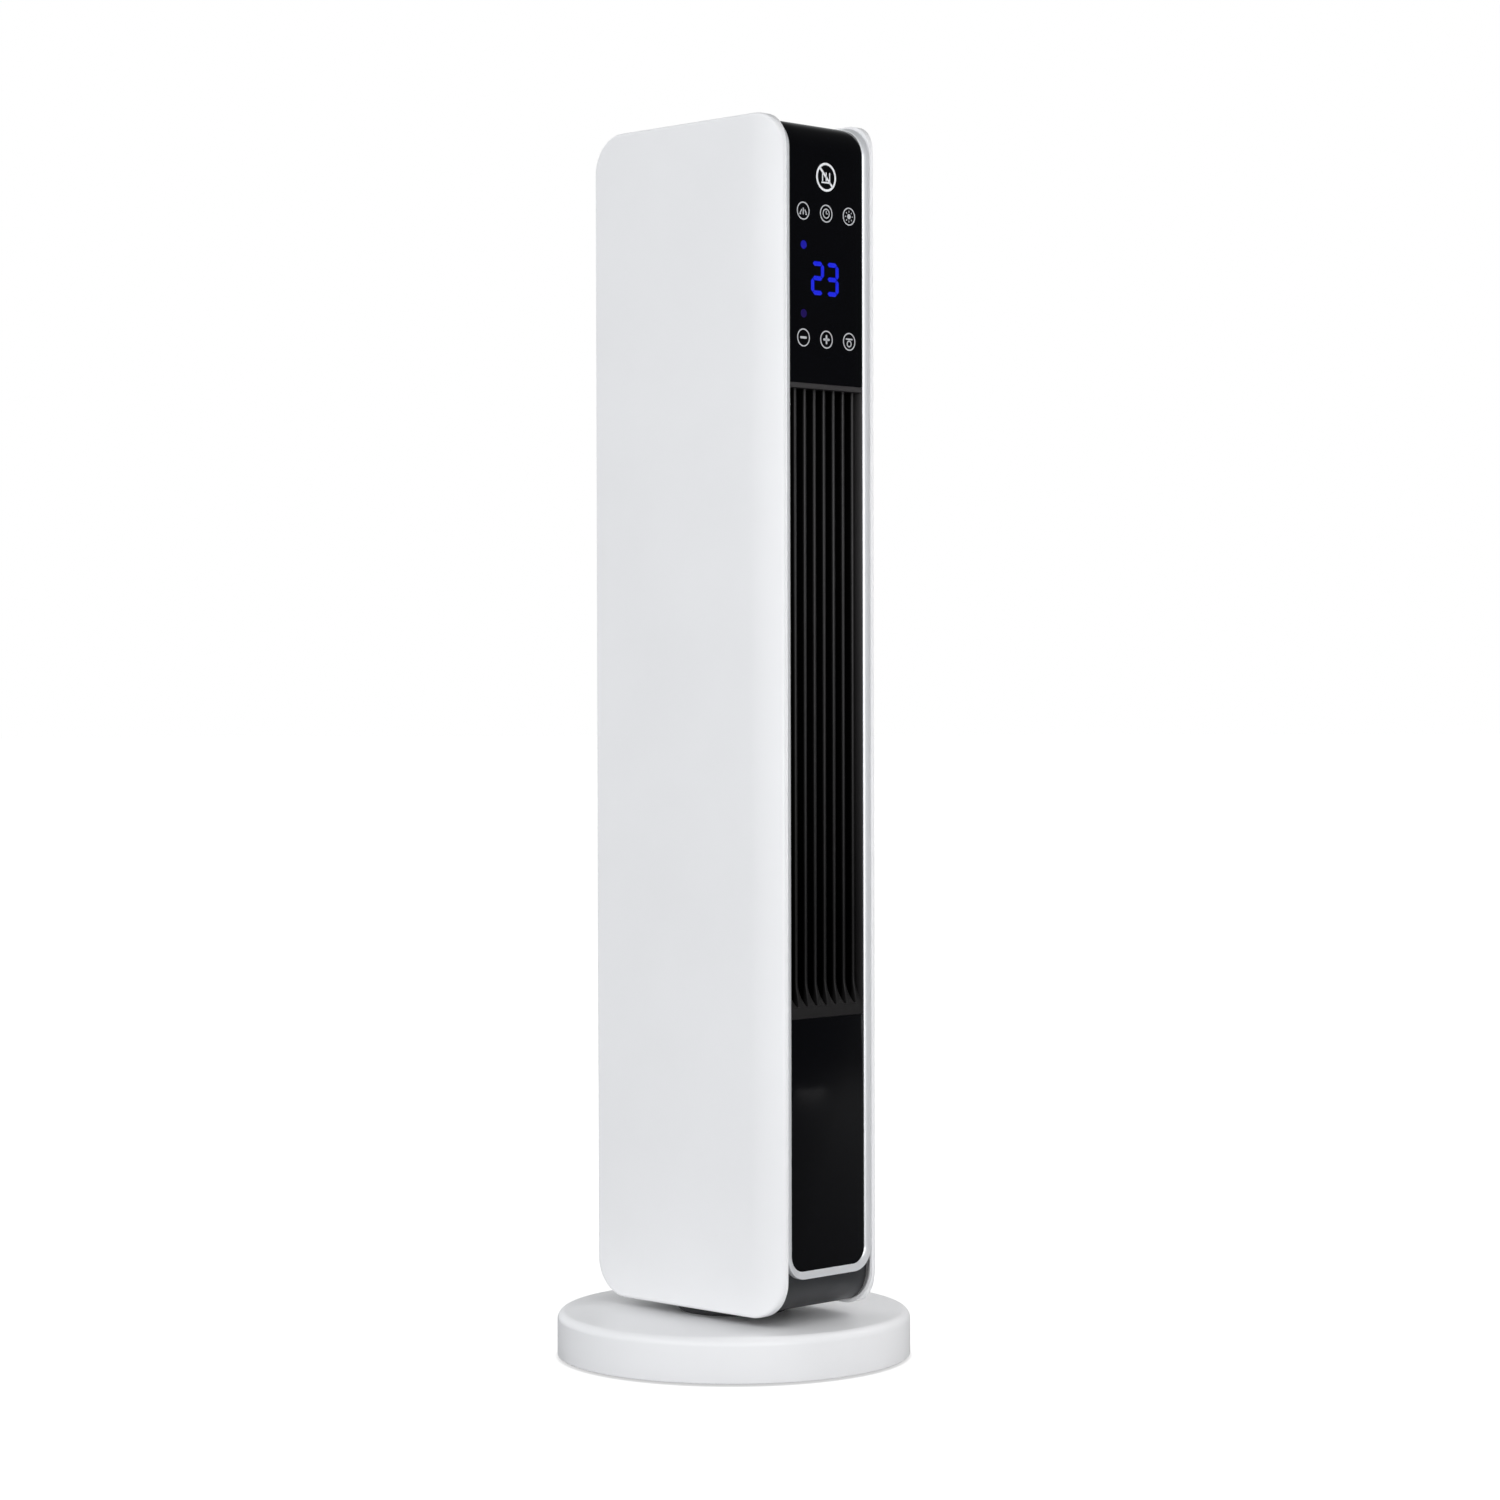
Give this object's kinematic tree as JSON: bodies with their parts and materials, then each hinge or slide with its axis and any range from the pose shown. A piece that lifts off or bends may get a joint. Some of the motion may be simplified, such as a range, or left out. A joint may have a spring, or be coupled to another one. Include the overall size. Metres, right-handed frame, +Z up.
{
  "type": "ceramic tower heater",
  "caption": "Slim upright ceramic heater on a round base: white side panels, gloss black front with touch panel and a tall vertical-vane outlet; it swivels on its base.",
  "frame": {"origin": "on the floor under the centre of the round base", "axes": "+Z up; the outlet and touch panel face -Y, the air intake faces +Y, and +X is to the right seen from the front"},
  "size_m": [0.24, 0.24, 0.8305],
  "materials": {
    "white_plastic": "satin moulded white",
    "gloss_black": "polished",
    "silver_trim": "silver lacquer, satin",
    "dark_grey_plastic": "fine spark grain",
    "grille_plastic": "satin",
    "black_plastic": "fine spark grain",
    "filter_net": "woven net",
    "rocker_plastic": "polished",
    "base_steel": "satin",
    "zinc_steel": "zinc plated",
    "steel": "ground",
    "rubber": "matt",
    "acetal": "natural, smooth",
    "sintered_bronze": "oiled",
    "rotor_plastic": "glass-filled, matt",
    "heat_plastic": "matt",
    "heating_ceramic": "fired, matt",
    "fin_aluminium": "mill",
    "circuit_board": "solder resist",
    "display_plastic": "smooth",
    "led_plastic": "diffusing"
  },
  "bodies": {
    "base": {"base_cover": "white_plastic", "base_plate": "base_steel", "rubber_feet": "rubber", "base_screws": "zinc_steel", "swivel_bush": "acetal", "thrust_washer": "black_plastic", "oscillation_motor": "zinc_steel", "motor_screws": "zinc_steel", "tip_switch_holder": "black_plastic", "tip_switch": "black_plastic", "inlet_grommet": "rubber", "plunger_spring": "steel"},
    "tip_plunger": {"tip_plunger": "acetal"},
    "drive_pinion": {"drive_pinion": "acetal", "pinion_shaft": "steel"},
    "impeller": {"impeller_rotor": "rotor_plastic", "motor_rotor": "steel", "motor_shaft": "steel", "impeller_pin": "steel"},
    "intake_cover": {"filter_cover": "black_plastic", "filter_mesh": "filter_net"},
    "power_rocker": {"power_rocker": "rocker_plastic"},
    "tower": {"side_panel_left": "white_plastic", "side_panel_right": "white_plastic", "upper_fascia": "gloss_black", "lower_fascia": "gloss_black", "front_trim": "silver_trim", "lower_front_cover": "dark_grey_plastic", "outlet_grille": "grille_plastic", "front_frame": "black_plastic", "rear_housing": "black_plastic", "handle_cup": "black_plastic", "turntable": "black_plastic", "board_bracket": "black_plastic", "power_board_carrier": "black_plastic", "switch_housing": "black_plastic", "blower_motor": "zinc_steel", "motor_bracket": "zinc_steel", "ptc_terminals": "zinc_steel", "gear_screws": "zinc_steel", "turntable_screws": "zinc_steel", "panel_screws": "zinc_steel", "housing_screws": "zinc_steel", "swivel_gear": "acetal", "upper_bush": "sintered_bronze", "blower_duct": "heat_plastic", "ptc_frame": "heat_plastic", "ptc_bars": "heating_ceramic", "ptc_fins": "fin_aluminium", "thermal_cutout": "fin_aluminium", "control_board": "circuit_board", "power_board": "circuit_board", "led_display": "display_plastic", "indicator_lights": "led_plastic", "infrared_receiver": "display_plastic", "touch_springs": "steel", "relays": "display_plastic", "board_components": "display_plastic", "terminal_block": "led_plastic"}
  },
  "joints": [
    {"name": "oscillation", "type": "hinge", "parent": "base", "child": "tower", "pos_m": [0, 0, 0.032], "axis": [0, 0, 1], "range_deg": [-40, 40]},
    {"name": "pinion_turn", "type": "hinge", "parent": "base", "child": "drive_pinion", "pos_m": [-0.05625, 0, 0.01], "axis": [0, 0, 1], "range_deg": [-160.5, 160.5]},
    {"name": "plunger_travel", "type": "slide", "parent": "base", "child": "tip_plunger", "axis": [0, 0, -1], "range_m": [0, 0.004], "stiffness_N_per_m": 150, "springref_m": 0.01, "deforming": ["plunger_spring"]},
    {"name": "impeller_spin", "type": "hinge", "parent": "tower", "child": "impeller", "pos_m": [0, 0.03, 0.2], "axis": [0, 0, 1], "continuous": true},
    {"name": "intake_cover_pull", "type": "slide", "parent": "tower", "child": "intake_cover", "axis": [0, 1, 0], "range_m": [0, 0.03]},
    {"name": "power_switch", "type": "hinge", "parent": "tower", "child": "power_rocker", "pos_m": [0, 0.074, 0.104], "axis": [1, 0, 0], "range_deg": [-20, 0]}
  ],
  "couplings": [
    {"joint": "pinion_turn", "follows": "oscillation", "ratio": -4}
  ]
}
